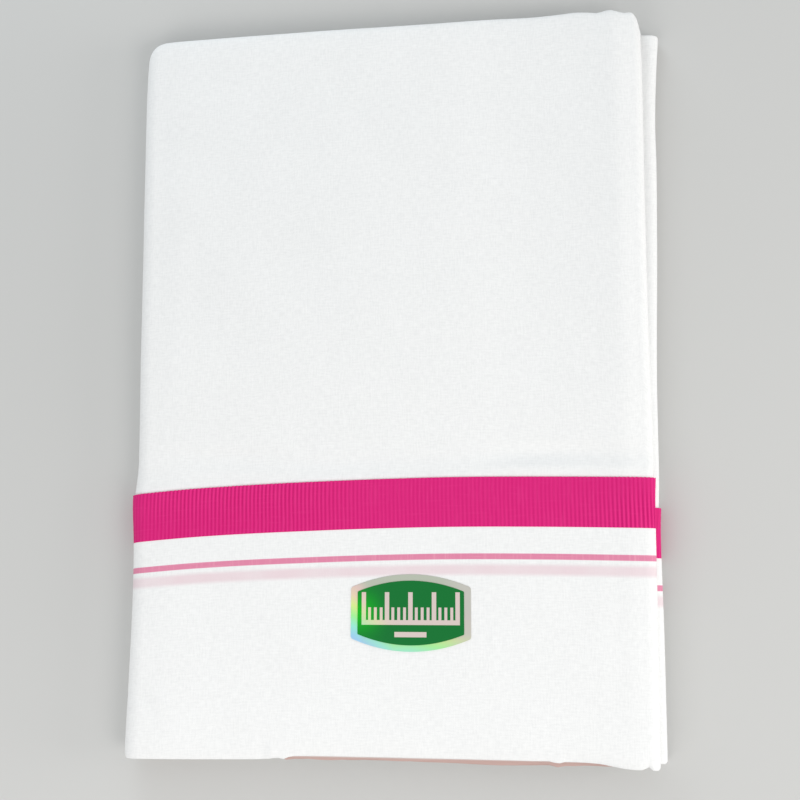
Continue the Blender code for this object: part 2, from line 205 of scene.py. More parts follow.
# Plan position of a named edge at x
def edgeY(half, name, x, left, right):
    if name == "bandLow":
        return through(half["edge"], x) - pack["bandHeight"]
    if name == "edge":
        return through(half["edge"], x)
    corners = half["corners"]
    rounding = cornerDrop(x - left, *corners[name + "Book"])
    rounding = rounding + cornerDrop(right - x, *corners[name + "Nested"])
    return through(half[name], x) + (-rounding if name == "top" else rounding)


# Plan position of a row: 0 is the bottom, 1 the selvedge of the turned-up border, 2 the top
def planY(half, row, x, left=openSides[0], right=openSides[1]):
    bottom = edgeY(half, "bottom", x, left, right) + pack["bottomInset"]
    edge = edgeY(half, "edge", x, left, right)
    top = edgeY(half, "top", x, left, right)
    return np.where(row <= 1, bottom + (edge - bottom) * row, edge + (top - edge) * (row - 1))


# Where the book fold and the nested fold end at a row
def sideLines(half, row):
    left = through(bookEdge, planY(half, row, np.full_like(row, pack["bookSideX"])))
    right = through(half["right"], planY(half, row, np.full_like(row, pack["nestedSideX"])))
    return left, right


def creaseHeight(creases, x, y):
    form = creaseForm
    total = np.zeros_like(x)
    for startX, startY, endX, endY, width, height, bow in creases:
        run = np.array((endX - startX, endY - startY), float)
        length = np.hypot(*run)
        along = ((x - startX) * run[0] + (y - startY) * run[1]) / length ** 2
        across = ((x - startX) * run[1] - (y - startY) * run[0]) / length
        across = across + bow * 4 * along * (1 - along)
        ends = smoothStep(form["fadeStart"], form["fadeEnd"], along)
        ends = ends * smoothStep(form["fadeStart"], form["fadeEnd"], 1 - along)
        beat = np.sin(along * length / (form["beat"] * width) + startX)
        uneven = 1 - form["uneven"] * (1 - beat)
        total = total + height * uneven * ends * np.exp(-(across / width) ** 2)
    return total


def slowWaves(x, y):
    rng = np.random.default_rng(unevenness["seed"])
    total = np.zeros_like(x)
    for _ in range(unevenness["waves"]):
        heading = rng.uniform(0, math.pi)
        wave = rng.uniform(unevenness["shortest"], unevenness["longest"])
        phase = rng.uniform(0, 2 * math.pi)
        swing = (x * math.cos(heading) + y * math.sin(heading)) * 2 * math.pi / wave
        total = total + np.sin(swing + phase)
    return total * unevenness["height"]


# Height of the plain cloth's outside on the face
def faceHeight(x, y, left, right):
    rowYs = []
    rowZs = []
    upperDrop = through(faceDrop, x, 1)
    lowerDrop = through(faceDrop, x, 2)
    for lowName, highName, rows in faceRows:
        low = edgeY(faceHalf, lowName, x, left, right)
        high = edgeY(faceHalf, highName, x, left, right)
        for share, distance, height, upperWeight in rows:
            rowYs.append((low + (high - low) * share + distance).ravel())
            rowZs.append((height - lowerDrop - (upperDrop - lowerDrop) * upperWeight).ravel())
    base = smoothCurve(np.array(rowYs), np.array(rowZs), y.ravel()).reshape(y.shape)
    return base + creaseHeight(faceCreases, x, y) + slowWaves(x, y)


# How far the turned-up cloth under it lifts the plain cloth on the underside and in the slot
def coveredLift(half, x, y):
    edge = through(half["edge"], x)
    return pack["flapLift"] * smoothStep(edge + pack["liftFade"], edge, y)


def outerHeight(half, x, y, left, right):
    if half["side"] > 0:
        return faceHeight(x, y, left, right)
    creased = creaseHeight(undersideCreases, x, y)
    return coveredLift(half, x, y) + np.clip(creased, 0.0, None)


# Middle of the book fold, halfway between the face and the underside
def bookMiddle(x, y, left, right):
    return (faceHeight(x, y, left, right) + coveredLift(backHalf, x, y)) / 2


# Columns of one half's section as zone and step, from inside the slot to the tip of the book fold
def sectionStops(slot, fold, flat, book):
    stops = [("slot", i / slot) for i in range(slot)]
    stops += [("fold", 2 * i / fold - 1) for i in range(fold)]
    stops += [("flat", i / flat) for i in range(flat)]
    stops += [("book", i / book) for i in range(book + 1)]
    return stops


# Outside of the plain cloth over one half: rows by columns by x, y, z
def halfGrid(half, stops, row):
    row = np.asarray(row, float)[:, None]
    left, right = sideLines(half, row)
    foldStart = right - pack["nestedRound"]
    bookStart = left + pack["bookRound"]
    slotEnd = sideLines(faceHalf, row)[1] - pack["slotDepth"]
    side = half["side"]
    foldY = planY(half, row, foldStart, left, right)
    gap = pack["slotOpening"] / 2 + coveredLift(half, foldStart, foldY)
    slotZ = through(parting, foldY) + side * gap
    foldZ = outerHeight(half, foldStart, foldY, left, right)
    bookY = planY(half, row, bookStart, left, right)
    bookZ = outerHeight(half, bookStart, bookY, left, right)
    tipZ = bookMiddle(bookStart, bookY, left, right)
    columns = []
    for zone, step in stops:
        if zone == "slot":
            x = slotEnd + (foldStart - slotEnd) * step
            z = slotZ
        elif zone == "fold":
            angle = step * math.pi / 2
            x = foldStart + pack["nestedRound"] * math.cos(angle)
            z = (foldZ + slotZ) / 2 + (foldZ - slotZ) / 2 * math.sin(angle)
        elif zone == "flat":
            x = foldStart + (bookStart - foldStart) * step
        else:
            angle = step * math.pi / 2
            x = bookStart - pack["bookRound"] * math.sin(angle)
            z = tipZ + (bookZ - tipZ) * math.cos(angle)
        y = planY(half, row, x, left, right)
        if zone == "flat":
            z = outerHeight(half, x, y, left, right)
        columns.append(np.stack((x, y, z), axis=-1))
    return np.concatenate(columns, axis=1)


# The whole way round: from the upper slot over the face, the book fold and the underside to the lower slot
def wrapGrid(stops, row):
    face = halfGrid(faceHalf, stops, row)
    back = halfGrid(backHalf, stops, row)[:, ::-1]
    tip = (face[:, -1:] + back[:, :1]) / 2
    return np.concatenate((face[:, :-1], tip, back[:, 1:]), axis=1)


# The turned-up cloth hugs the flat parts and stands out a little where it goes round a fold
def flapRise(normals):
    return (pack["flapLift"] + pack["sideLift"] * (1 - np.abs(normals[..., 2])))[..., None]


def gridNormals(points):
    along = np.gradient(points, axis=1)
    up = np.gradient(points, axis=0)
    normals = np.cross(up, along)
    return normals / np.maximum(np.linalg.norm(normals, axis=-1, keepdims=True), 1e-9)


# Distance run over a grid of points in one direction, from 0 on
def distanceRun(points, axis):
    steps = np.linalg.norm(np.diff(points, axis=axis), axis=-1)
    start = np.zeros_like(np.take(steps, [0], axis=axis))
    return np.concatenate((start, np.cumsum(steps, axis=axis)), axis=axis)


# Flat cloth coordinates in metres: along from the face's middle, and down from the selvedge
def clothCoordinates(points, middleColumn, zeroRow=0):
    along = distanceRun(points, 1)
    up = distanceRun(points, 0)
    along -= along[:, middleColumn:middleColumn + 1]
    up -= up[zeroRow]
    return np.stack((along, up), axis=-1) * mm


# Places at even steps over several stretches, each given as its start, end and count
def spacedRows(stretches):
    return np.concatenate([np.linspace(*stretch) for stretch in stretches])


def nothingSelected():
    if bpy.context.object and bpy.context.object.mode != "OBJECT":
        bpy.ops.object.mode_set(mode="OBJECT")
    bpy.ops.object.select_all(action="DESELECT")


# Runs a mesh operator on all of the active piece
def onWholeMesh(operator, **settings):
    bpy.ops.object.mode_set(mode="EDIT")
    bpy.ops.mesh.select_all(action="SELECT")
    operator(**settings)
    bpy.ops.object.mode_set(mode="OBJECT")


# A grid primitive reshaped to rows of points in mm, its faces turned outwards
def gridPiece(name, points, flatCoordinates):
    nothingSelected()
    rows, columns = points.shape[:2]
    bpy.ops.mesh.primitive_grid_add(x_subdivisions=columns - 1, y_subdivisions=rows - 1, size=1)
    piece = bpy.context.object
    piece.name = name
    piece.data.name = name
    piece.data.vertices.foreach_set("co", (points * mm).astype(np.float32).ravel())
    corners = np.empty(len(piece.data.loops), np.int32)
    piece.data.loops.foreach_get("vertex_index", corners)
    flat = flatCoordinates.reshape(-1, 2)[corners]
    piece.data.uv_layers.active.name = "clothFlat"
    piece.data.uv_layers.active.data.foreach_set("uv", flat.astype(np.float32).ravel())
    onWholeMesh(bpy.ops.mesh.flip_normals)
    return piece


def giveThickness(piece, thickness):
    bpy.ops.object.modifier_add(type="SOLIDIFY")
    wall = piece.modifiers[-1]
    wall.thickness = thickness * mm
    wall.offset = -1.0
    bpy.ops.object.modifier_apply(modifier=wall.name)


def smoothShading(piece, degrees=40):
    nothingSelected()
    piece.select_set(True)
    bpy.context.view_layer.objects.active = piece
    bpy.ops.object.shade_smooth_by_angle(angle=math.radians(degrees))


# A fold that closes a sheet's end: the end row rolls round and runs back under the sheet
def rolledRows(points, normals, end, outside, inside, steps, back):
    ahead = 1 if end == -1 else -1
    edge = points[end]
    away = points[end] - points[end - ahead]
    away /= np.linalg.norm(away, axis=-1, keepdims=True)
    middle = (outside + inside) / 2
    radius = (outside - inside) / 2
    rows = []
    for i in range(1, steps + 1):
        angle = math.pi * i / steps
        centre = edge + normals[end] * middle
        rows.append(centre + normals[end] * radius * math.cos(angle) + away * radius * math.sin(angle))
    for count in back:
        under = end - ahead * count
        rows.append(points[under] + normals[under] * inside)
    return rows


plainCloth = {
    "wall": 0.5,
    # Under the border, close together in the trough above it, and up to the top
    "rows": ((0.0, 0.97, 12), (0.985, 1.10, 24), (1.11, 1.95, 90)),
    "endRows": (1.965, 1.98, 1.99, 1.996, 2.0),     # where the top rounds over
    "stops": (4, 16, 104, 10),
    "roll": (0.0, -0.7, 6),                 # outside, inside and steps of the top fold
    "rollBack": (3, 5, 7),
}


def makePlainCloth():
    values = plainCloth
    rows = np.concatenate((spacedRows(values["rows"]), values["endRows"]))
    stops = sectionStops(*values["stops"])
    outside = wrapGrid(stops, rows)
    normals = gridNormals(outside)
    outer, inner, steps = values["roll"]
    rolled = rolledRows(outside, normals, -1, outer, inner, steps, values["rollBack"])
    points = np.concatenate((outside, np.array(rolled)), axis=0)
    middle = len(stops) // 2
    piece = gridPiece("plainCloth", points, clothCoordinates(points, middle))
    giveThickness(piece, values["wall"])
    smoothShading(piece)
    return piece


plain = makePlainCloth()
print("plain cloth:", len(plain.data.polygons), "faces")


turnedUpCloth = {
    "wall": 0.5,
    "endRows": (0.0, 0.004, 0.01, 0.02, 0.035, 0.055),   # where the bottom rounds over
    "rows": (0.075, 1.0, 54),
    "readRows": (0.075, 1.0, 120),      # finer rows that the band's lower edge is found on
    "stops": (4, 16, 104, 10),
    "rollSteps": 8,
    "rollInside": -0.65,
    "rollBack": (2, 3, 4),
}


# The turned-up cloth's rows end on the band's lower edge, so its grid is read between the plain rows
def lineUp(grid, rows, wanted):
    index = np.clip(np.searchsorted(rows, wanted, side="right") - 1, 0, len(rows) - 2)
    column = np.arange(grid.shape[1])[None, :]
    share = ((wanted - rows[index]) / (rows[index + 1] - rows[index]))[..., None]
    return grid[index, column] * (1 - share) + grid[index + 1, column] * share


# Row at which the band begins, measured down along the cloth from the selvedge
def bandRowOf(grid, rows):
    found = []
    for column in distanceRun(grid, 0).T:
        wanted = np.interp(1.0, rows, column) - pack["bandHeight"]
        found.append(np.interp(wanted, column, rows))
    return np.array(found)


def makeTurnedUpCloth():
    values = turnedUpCloth
    fineRows = np.concatenate((values["endRows"], np.linspace(*values["readRows"])))
    stops = sectionStops(*values["stops"])
    fine = wrapGrid(stops, fineRows)
    lowRow = bandRowOf(fine, fineRows)
    spread = np.concatenate((values["endRows"], np.linspace(*values["rows"])))
    outside = lineUp(fine, fineRows, spread[:, None] * lowRow[None, :])
    normals = gridNormals(outside)
    rise = flapRise(normals)
    raised = outside + normals * rise
    rolled = rolledRows(outside, normals, 0, rise[0], values["rollInside"], values["rollSteps"],
                        values["rollBack"])
    points = np.concatenate((np.array(rolled)[::-1], raised), axis=0)
    coordinates = clothCoordinates(points, len(stops) // 2, zeroRow=-1)
    coordinates[..., 1] -= pack["bandHeight"] * mm
    piece = gridPiece("turnedUpCloth", points, coordinates)
    giveThickness(piece, values["wall"])
    smoothShading(piece)
    return piece


turnedUp = makeTurnedUpCloth()
print("turned-up cloth:", len(turnedUp.data.polygons), "faces")


borderBand = {
    "wall": 0.5,
    "rows": 10,
    "readRows": (0.72, 1.0, 60),
    "stops": (8, 60, 980, 50),
    "ribPitch": 1.93,
    "ribDrift": ((0.35, 0.083, 0.0), (0.25, 0.031, 1.3)),     # slow shifts: turn, rate for each mm, start
    "ribRise": 0.24,
    "ribUneven": 0.3,     # share by which ribs differ in height
    "ribBeat": (0.37, 2.0, 0.11),
    # These shares also set how strongly the band's colour is painted lighter on the ridges and darker in
    # the grooves, as painted highlight and shade
    # how strongly they stand out: distance along the cloth from the face's middle towards the
    # book fold, share
    "ribPlaces": ((-150, 1.0), (-124, 1.7), (-110, 1.2), (-96, 0.7), (-70, 0.5), (0, 0.45), (24, 0.8),
                  (60, 1.3), (100, 1.3), (118, 0.8), (132, 0.4)),
    "scallop": 0.12,      # how far the ribs' ends stand out at the selvedge
    "edgeFade": 1.2,      # the ribs flatten over this distance at both edges
    "edgeShare": 0.45,    # to this share of their height
    "smoothAngle": 55,
}


# From 1 on a rib's ridge to -1 in the groove beside it
def ribWave(along):
    swing = 2 * math.pi * along / borderBand["ribPitch"]
    for turn, rate, start in borderBand["ribDrift"]:
        swing = swing + turn * np.sin(along * rate + start)
    return np.cos(swing)


def makeBorderBand():
    values = borderBand
    fineRows = np.linspace(*values["readRows"])
    stops = sectionStops(*values["stops"])
    fine = wrapGrid(stops, fineRows)
    lowRow = bandRowOf(fine, fineRows)
    spread = np.linspace(0, 1, values["rows"])
    outside = lineUp(fine, fineRows, lowRow[None, :] + (1 - lowRow[None, :]) * spread[:, None])
    normals = gridNormals(outside)
    points = outside + normals * flapRise(normals)
    coordinates = clothCoordinates(points, len(stops) // 2, zeroRow=-1)
    piece = gridPiece("borderBand", points, coordinates)
    giveThickness(piece, values["wall"])
    # The ribs are raised in the outer points, over a plain inside
    along = coordinates[len(points) // 2, :, 0] / mm
    ridge = ribWave(along) / 2
    beat, swing, slowBeat = values["ribBeat"]
    uneven = 0.5 + 0.5 * np.sin(along * beat + swing * np.sin(along * slowBeat))
    strength = (1 - values["ribUneven"] * uneven) * through(values["ribPlaces"], along)
    fromEdge = np.minimum(spread, 1 - spread) * pack["bandHeight"]
    flatten = smoothStep(0.0, values["edgeFade"], fromEdge)
    flatten = values["edgeShare"] + (1 - values["edgeShare"]) * flatten
    rise = flatten[:, None] * (ridge * strength)[None, :] * values["ribRise"]
    onFloor = np.clip(1 + np.minimum(normals[..., 2], 0), 0, 1)
    raised = points + normals * (rise * onFloor)[..., None]
    raised[-1, :, 1] += values["scallop"] * ridge * strength
    outerCount = len(points) * points.shape[1]
    coords = np.empty(len(piece.data.vertices) * 3, np.float32)
    piece.data.vertices.foreach_get("co", coords)
    coords = coords.reshape(-1, 3)
    coords[:outerCount] = (raised * mm).reshape(-1, 3)
    piece.data.vertices.foreach_set("co", coords.ravel())
    piece.data.update()
    smoothShading(piece, values["smoothAngle"])
    return piece


band = makeBorderBand()
print("border band:", len(band.data.polygons), "faces")


hiddenPlies = {
    "below": 1.3,          # depth under the plain cloth's outside
    "slit": 0.06,          # half the gap between the two stacks, further in than the slot
    "stops": (4, 12, 66, 10),
    "slitColumns": 60,
    "settle": 3,           # how late the slit turns to the middle of the book fold
    "nestShare": 0.08,     # reach of the nested folds' round middle, as a share of the width
    "fullDepth": 3.0,      # a stack thinner than this has lower folds at its ends
    "rows": ((0.0, 0.94, 8), (0.98, 1.12, 12), (1.2, 2.0, 8)),   # close together in the trough
    "beads": 8,            # folds between a stack's outside and its middle
    "beadRows": 6,         # rows over one fold
    "recess": 2.0,         # from the plain cloth's end to the grooves between the folds
    "beadHeight": 1.45,
    "beadVaries": 0.45,
    "beadLimits": (0.5, 1.85),
    "beadWaves": (5, 18.0, 160.0),     # count, shortest and longest
    "weld": 0.001,         # points closer than this become one
    "seed": 11,
}

# How far the folds stand out of the pack's bottom: x, distance
bottomShow = ((-130, 0.0), (-56, 0.0), (-48, 2.4), (0, 2.8), (30, 3.1), (60, 3.5), (88, 2.6), (98, 2.1),
              (106, 0.4), (130, 0.0))


def wander(rng, along, waves, shortest, longest):
    total = np.zeros_like(along)
    for _ in range(waves):
        wave = rng.uniform(shortest, longest)
        total += np.sin(along * 2 * math.pi / wave + rng.uniform(0, 2 * math.pi))
    return total / waves ** 0.5


# The stack ends a little short of the plain cloth at both ends
def drawnBack(grid):
    grid[0, :, 1] += hiddenPlies["recess"]
    grid[-1, :, 1] -= hiddenPlies["recess"]
    return grid


def makeHiddenPlies():
    values = hiddenPlies
    stops = sectionStops(*values["stops"])
    rows = spacedRows(values["rows"])
    wrap = wrapGrid(stops, rows)
    normals = gridNormals(wrap)
    flatNormals = normals * np.array((1.0, 0.0, 1.0))
    flatNormals /= np.linalg.norm(flatNormals, axis=-1, keepdims=True)
    outer = drawnBack(wrap - flatNormals * values["below"])
    slots = values["stops"][0]
    folds = values["stops"][1]
    books = values["stops"][3]
    half = len(stops)
    row = rows[:, None]

    # The slit between the stacks, from the slot's end to the middle of the book fold
    def slitSide(which, reverse):
        left, right = sideLines(which, row)
        bookStart = left + pack["bookRound"]
        slotEnd = sideLines(faceHalf, row)[1] - pack["slotDepth"] - values["below"] / 2
        steps = np.linspace(0, 1, values["slitColumns"])[None, :]
        x = slotEnd + (bookStart - slotEnd) * steps
        y = planY(which, row, x, left, right)
        middle = bookMiddle(bookStart, y[:, -1:], left, right)
        fold = planY(which, row, right - pack["nestedRound"], left, right)
        turned = steps ** values["settle"]
        z = through(parting, fold) * (1 - turned) + middle * turned + which["side"] * values["slit"]
        side = drawnBack(np.stack((x, y, z), axis=-1))
        return side[:, ::-1] if reverse else side

    upperSlit = slitSide(faceHalf, True)
    lowerSlit = slitSide(backHalf, False)
    # A fan of columns round the slit's end lets the folds turn with the book fold
    fanSteps = np.linspace(0, 1, 2 * books + 1)[1:-1]
    end = (upperSlit[:, :1] + lowerSlit[:, -1:]) / 2
    angles = np.pi * fanSteps
    reach = np.stack((-np.sin(angles), 0 * angles, -np.cos(angles)), axis=-1) * values["slit"]
    fan = end + reach[None]
    loop = np.concatenate((upperSlit, outer, lowerSlit, fan), axis=1)

    # The middle line of each stack, one point for each column of the loop
    def middleLine(cap):
        face = outer[cap, :half]
        back = outer[cap, half - 1:][::-1]
        lines = []
        for side, slit in ((face, upperSlit[cap][::-1]), (back, lowerSlit[cap])):
            start = slots + folds
            nest = side[start].copy()
            nest[2] = (side[start][2] + side[slots][2]) / 2
            line = [nest] * start
            for i in range(start, len(side)):
                step = stops[i][1]
                point = side[i].copy()
                if stops[i][0] == "flat":
                    inside = np.interp(point[0], slit[::-1, 0], slit[::-1, 2])
                    nearNest = smoothStep(0.0, values["nestShare"], step)
                    point[2] = (point[2] + inside) / 2 * nearNest + nest[2] * (1 - nearNest)
                else:
                    point = (point + end[cap, 0]) / 2
                line.append(point)
            lines.append(np.array(line))
        return lines

    def middlePoints(cap):
        faceLine, backLine = middleLine(cap)
        tip = (faceLine[-1] + backLine[-1]) / 2
        outerMiddle = np.concatenate((faceLine[:-1], [tip], backLine[:-1][::-1]))

        def beside(line, slit):
            flat = line[slots + folds:]
            flat = flat[np.argsort(flat[:, 0])]
            return np.stack([np.interp(slit[:, 0], flat[:, 0], flat[:, k]) for k in range(3)], axis=-1)

        upper = beside(faceLine[:-books], upperSlit[cap])
        lower = beside(backLine[:-books], lowerSlit[cap])
        around = np.concatenate((backLine[-books - 1:], faceLine[-books - 1:-1][::-1]))
        around = np.array([np.interp(fanSteps * (len(around) - 1), np.arange(len(around)), around[:, k])
                           for k in range(3)]).T
        return np.concatenate((upper, outerMiddle, lower, around))

    rng = np.random.default_rng(values["seed"])
    capRows = values["beads"] * values["beadRows"]

    def capGrid(cap, direction):
        edge = loop[cap]
        middle = middlePoints(cap)
        along = distanceRun(edge, 0)
        upper = edge[:, 2] > through(parting, edge[:, 1])
        shown = through(bottomShow, edge[:, 0]) * upper if direction < 0 else 0.0
        heights = []
        for _ in range(values["beads"]):
            height = values["beadHeight"] + values["beadVaries"] * wander(rng, along, *values["beadWaves"])
            heights.append(np.clip(height, *values["beadLimits"]) + shown)
        lines = []
        for i in range(1, capRows + 1):
            share = 1 - i / capRows
            bead = min(int((1 - share) * values["beads"] - 1e-6), values["beads"] - 1)
            across = ((1 - share) * values["beads"] - bead) * 2 - 1
            profile = math.sqrt(max(1 - across * across, 0))
            narrow = np.clip(np.linalg.norm(edge - middle, axis=-1) / values["fullDepth"], 0, 1)
            line = middle + (edge - middle) * share
            line[:, 1] += direction * heights[bead] * profile * narrow
            lines.append(line)
        return np.array(lines)

    bottomCap = capGrid(0, -1.0)
    topCap = capGrid(-1, 1.0)
    points = np.concatenate((bottomCap[::-1], loop, topCap), axis=0)
    points = np.concatenate((points, points[:, :1]), axis=1)
    piece = gridPiece("hiddenPlies", points, clothCoordinates(points, half))
    onWholeMesh(bpy.ops.mesh.remove_doubles, threshold=values["weld"] * mm)
    smoothShading(piece)
    return piece


plies = makeHiddenPlies()
print("hidden plies:", len(plies.data.polygons), "faces")


label = {
    "centre": (9.6, -111.1),
    "foil": ((56.2, 23.4), 6.0, 0.9, 0.10),     # size, arch, corner, height over the cloth
    "field": ((49.9, 19.6), 5.0, 0.35, 0.29),
    "wall": 0.16,
    "columns": 72,
    "crowding": 1.5,      # columns lie closer together towards the sides
    "smoothAngle": 30,
    "rows": 34,
}


# A thin plate with arched top and bottom edges and rounded corners, lying on the turned-up cloth
def labelPlate(name, size, arch, corner, raised):
    values = label
    across = np.linspace(-1, 1, values["columns"])
    across = np.sign(across) * (1 - (1 - np.abs(across)) ** values["crowding"])
    x = values["centre"][0] + across * size[0] / 2
    fromSide = (1 - np.abs(across)) * size[0] / 2
    halfHeight = size[1] / 2 + arch * (1 - across ** 2) - cornerDrop(fromSide, corner, corner)
    up = np.linspace(-1, 1, values["rows"])[:, None]
    y = values["centre"][1] + up * halfHeight[None, :]
    x = np.repeat(x[None, :], len(up), axis=0)
    z = faceHeight(x, y, *openSides) + pack["flapLift"] + raised + values["wall"]
    points = np.stack((x, y, z), axis=-1)[:, ::-1]
    flat = points[..., :2] * mm
    piece = gridPiece(name, points, flat)
    giveThickness(piece, values["wall"])
    smoothShading(piece, values["smoothAngle"])
    return piece


foil = labelPlate("labelFoil", *label["foil"])
field = labelPlate("labelField", *label["field"])
print("label: foil and field")


# Materials
def newMaterial(name):
    material = bpy.data.materials.new(name)
    material.use_nodes = True
    tree = material.node_tree
    return material, tree, tree.nodes["Principled BSDF"]


# A node with its settings and inputs; an input is a number, a colour, a vector or a node's output
def placeNode(tree, kind, inputs, **settings):
    node = tree.nodes.new("ShaderNode" + kind)
    for key, value in settings.items():
        setattr(node, key, value)
    for socket, value in inputs.items():
        if isinstance(value, (int, float, tuple)):
            node.inputs[socket].default_value = value
        else:
            tree.links.new(value, node.inputs[socket])
    return node.outputs


def mathNode(tree, operation, *values, clamp=False):
    return placeNode(tree, "Math", dict(enumerate(values)), operation=operation, use_clamp=clamp)[0]


def mixColour(tree, share, first, second):
    return placeNode(tree, "Mix", {0: share, 6: first, 7: second}, data_type="RGBA")[2]


def mapRange(tree, value, fromLow, fromHigh, toLow=0.0, toHigh=1.0, smooth=False):
    inputs = dict(enumerate((value, fromLow, fromHigh, toLow, toHigh)))
    return placeNode(tree, "MapRange", inputs, interpolation_type="SMOOTHSTEP" if smooth else "LINEAR")[0]


def rangeInMm(tree, value, fromLow, fromHigh, toLow=0.0, toHigh=1.0):
    return mapRange(tree, value, fromLow * mm, fromHigh * mm, toLow, toHigh, smooth=True)


# A colour as it looks on screen, 0 to 255, as the shader's linear value
def screenColour(*levels):
    parts = [level / 255 for level in levels]
    linear = [part / 12.92 if part <= 0.04045 else ((part + 0.055) / 1.055) ** 2.4 for part in parts]
    return tuple(linear) + (1.0,)


# A noise drawn out by its scale along each axis
def stretchedNoise(tree, vector, scale, detail, offset=(0.0, 0.0, 0.0)):
    placed = placeNode(tree, "Mapping", {"Vector": vector, "Scale": scale, "Location": offset})
    return placeNode(tree, "TexNoise", {"Vector": placed[0], "Scale": 1.0, "Detail": detail})["Fac"]


# A value turned into colours by stops of place and colour, from the lowest place to the highest
def colourRamp(tree, value, stops):
    low = stops[0][0]
    high = stops[-1][0]
    ramp = tree.nodes.new("ShaderNodeValToRGB")
    elements = ramp.color_ramp.elements
    elements[0].color = stops[0][1]
    elements[1].color = stops[-1][1]
    for place, colour in stops[1:-1]:
        elements.new((place - low) / (high - low)).color = colour
    tree.links.new(mapRange(tree, value, low, high), ramp.inputs[0])
    return ramp.outputs[0]


# A new node group with its input and output nodes; sockets are given as name and kind
def newGroup(name, inputs, outputs):
    group = bpy.data.node_groups.new(name, "ShaderNodeTree")
    for direction, sockets in (("INPUT", inputs), ("OUTPUT", outputs)):
        for socket, kind in sockets:
            group.interface.new_socket(socket, in_out=direction, socket_type="NodeSocket" + kind)
    return group, group.nodes.new("NodeGroupInput"), group.nodes.new("NodeGroupOutput")


weaveLook = {
    # Noises over the flat cloth: scale, detail, offset
    "noises": {
        "strayAcross": ((420.0, 34.0, 1.0), 2.0),
        "strayUp": ((30.0, 420.0, 1.0), 2.0, (3.0, 7.0, 0.0)),
        "slubUp": ((1150.0, 70.0, 1.0), 2.5, (1.0, 2.0, 0.0)),
        "slubAlong": ((60.0, 1150.0, 1.0), 2.5, (5.0, 9.0, 0.0)),
        "hatchUp": ((1350.0, 260.0, 1.0), 2.0, (4.0, 6.0, 0.0)),
        "hatchAlong": ((260.0, 1350.0, 1.0), 2.0, (8.0, 3.0, 0.0)),
        "mottle": ((46.0, 30.0, 1.0), 4.0, (2.0, 4.0, 0.0)),
    },
    "stray": 1.1,                 # how far threads wander, in mm
    "upRange": (0.52, 0.84),      # of the noises that make thick threads, up and along the cloth
    "alongRange": (0.54, 0.86),
    "alongShare": 0.8,
    "hatchRange": (0.72, 1.28),
    "slubRelief": 0.8,
}
weaveMasks = ("Slubs", "Hatch", "Mottle")


# Plain weave on the flat cloth: thread height, thick threads, close and open threads, mottling
def makeWeaveGroup():
    values = weaveLook
    inputs = (("Flat Cloth", "Vector"), ("Thread Pitch", "Float"))
    outputs = [(name, "Float") for name in ("Height",) + weaveMasks]
    group, start, end = newGroup("plainWeave", inputs, outputs)
    flat = start.outputs["Flat Cloth"]
    noise = {name: stretchedNoise(group, flat, *row) for name, row in values["noises"].items()}
    parts = placeNode(group, "SeparateXYZ", {0: flat})
    threads = []
    for place, drift in ((parts[0], noise["strayAcross"]), (parts[1], noise["strayUp"])):
        moved = mathNode(group, "MULTIPLY_ADD", drift, values["stray"] * mm, place)
        turns = mathNode(group, "DIVIDE", moved, start.outputs["Thread Pitch"])
        threads.append(mathNode(group, "SINE", mathNode(group, "MULTIPLY", turns, math.pi)))
    height = mathNode(group, "MULTIPLY_ADD", mathNode(group, "MULTIPLY", *threads), 0.5, 0.5)
    upMask = mapRange(group, noise["slubUp"], *values["upRange"])
    alongMask = mapRange(group, noise["slubAlong"], *values["alongRange"])
    slubs = mathNode(group, "MAXIMUM", upMask, mathNode(group, "MULTIPLY", alongMask, values["alongShare"]))
    crossed = mathNode(group, "ADD", noise["hatchUp"], noise["hatchAlong"])
    hatch = mapRange(group, crossed, *values["hatchRange"])
    thick = mathNode(group, "MULTIPLY_ADD", slubs, values["slubRelief"], height)
    for socket, output in zip(end.inputs, (thick, slubs, hatch, noise["mottle"])):
        group.links.new(output, socket)
    return group


cottonLook = {
    "bright": (0.875, 0.880, 0.880, 1.0),
    "dull": (0.850, 0.856, 0.856, 1.0),
    "thick": (0.932, 0.935, 0.934, 1.0),    # where threads lie close
    "thin": (0.785, 0.791, 0.794, 1.0),     # where they lie apart
    "mottled": (0.30, 0.70),
    "slubShare": 0.5,
    "threadShare": 0.5,
    "pitch": 0.36,
    "roughness": 0.82,
    "sheen": 0.12,
    "sheenRoughness": 0.5,
    "specular": 0.3,
    "bump": (0.5, 0.05),                    # strength, and depth in mm
}


# Colour of the white threads, from the weave's masks
def makeThreadGroup():
    values = cottonLook
    inputs = [(name, "Float") for name in weaveMasks]
    group, start, end = newGroup("whiteThreads", inputs, (("Colour", "Color"),))
    mottled = mapRange(group, start.outputs["Mottle"], *values["mottled"])
    base = mixColour(group, mottled, values["dull"], values["bright"])
    threads = mixColour(group, start.outputs["Hatch"], values["thin"], values["thick"])
    slubs = mathNode(group, "MULTIPLY", start.outputs["Slubs"], values["slubShare"])
    threads = mixColour(group, slubs, threads, values["thick"])
    group.links.new(mixColour(group, values["threadShare"], base, threads), end.inputs["Colour"])
    return group


weaveGroup = makeWeaveGroup()
threadGroup = makeThreadGroup()


# The weave's outputs and the flat cloth's coordinates
def placeWeave(tree, pitch):
    flat = placeNode(tree, "UVMap", {}, uv_map="clothFlat")[0]
    inputs = {"Flat Cloth": flat, "Thread Pitch": pitch * mm}
    return placeNode(tree, "Group", inputs, node_tree=weaveGroup), placeNode(tree, "SeparateXYZ", {0: flat})


def threadColour(tree, weave):
    return placeNode(tree, "Group", {name: weave[name] for name in weaveMasks}, node_tree=threadGroup)[0]


surfaceSockets = {"roughness": "Roughness", "specular": "Specular IOR Level", "metallic": "Metallic",
                  "sheen": "Sheen Weight", "sheenRoughness": "Sheen Roughness"}


